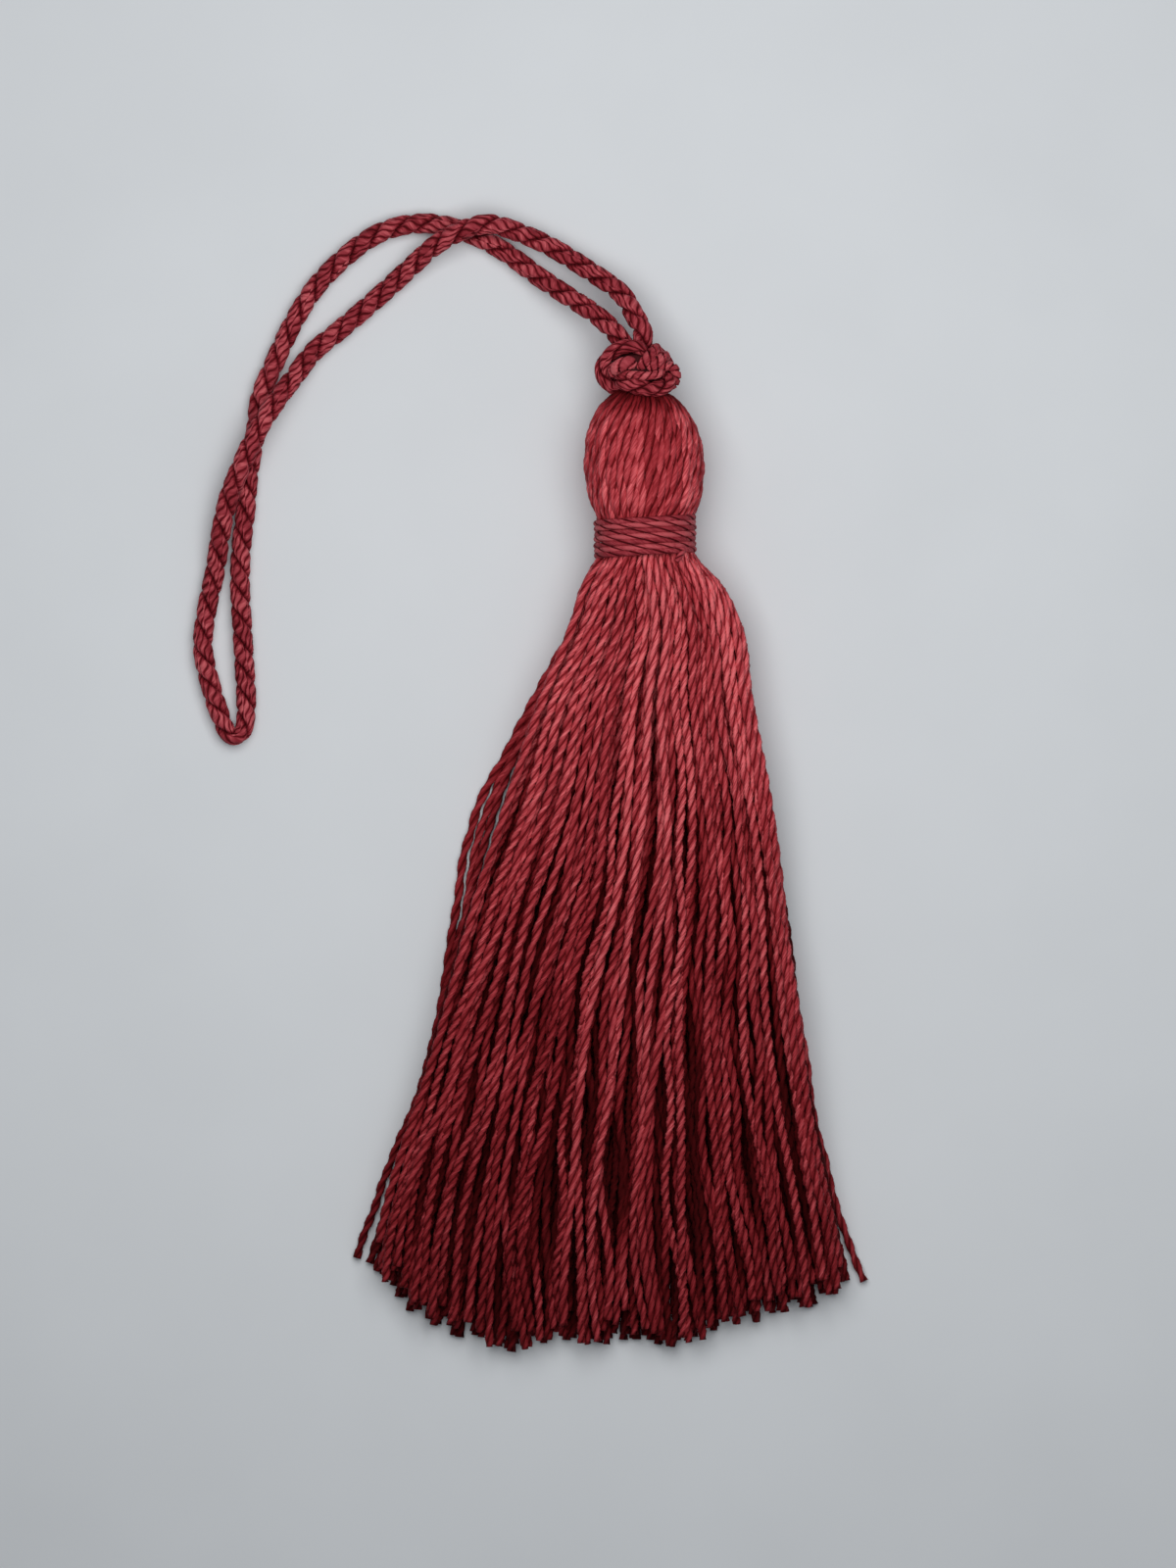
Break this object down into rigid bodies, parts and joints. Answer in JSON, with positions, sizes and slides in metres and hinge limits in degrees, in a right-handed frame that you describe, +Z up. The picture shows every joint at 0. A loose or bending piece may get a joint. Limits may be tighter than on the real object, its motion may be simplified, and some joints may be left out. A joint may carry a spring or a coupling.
{
  "type": "yarn tassel",
  "caption": "Red yarn tassel lying flat: round ridged head, wound neck, knotted twisted hanging loop and a long fanned skirt of strands.",
  "frame": {"origin": "the spot under the middle of the head where the tassel rests on the surface", "axes": "+Y along the tassel from the skirt to the knot, +X across it, +Z up from the surface towards the viewer"},
  "size_m": [0.0589, 0.1005, 0.0099],
  "materials": {
    "yarn_hank": "satin red two-ply yarn",
    "neck_binding": "satin red thread, wound in even turns",
    "top_knot": "satin red rope, tied in a tight knot",
    "hanging_loop": "satin red two-ply rope of thin yarns"
  },
  "bodies": {
    "root": {"yarn_hank": "yarn_hank", "neck_binding": "neck_binding", "top_knot": "top_knot", "hanging_loop": "hanging_loop"}
  },
  "joints": []
}
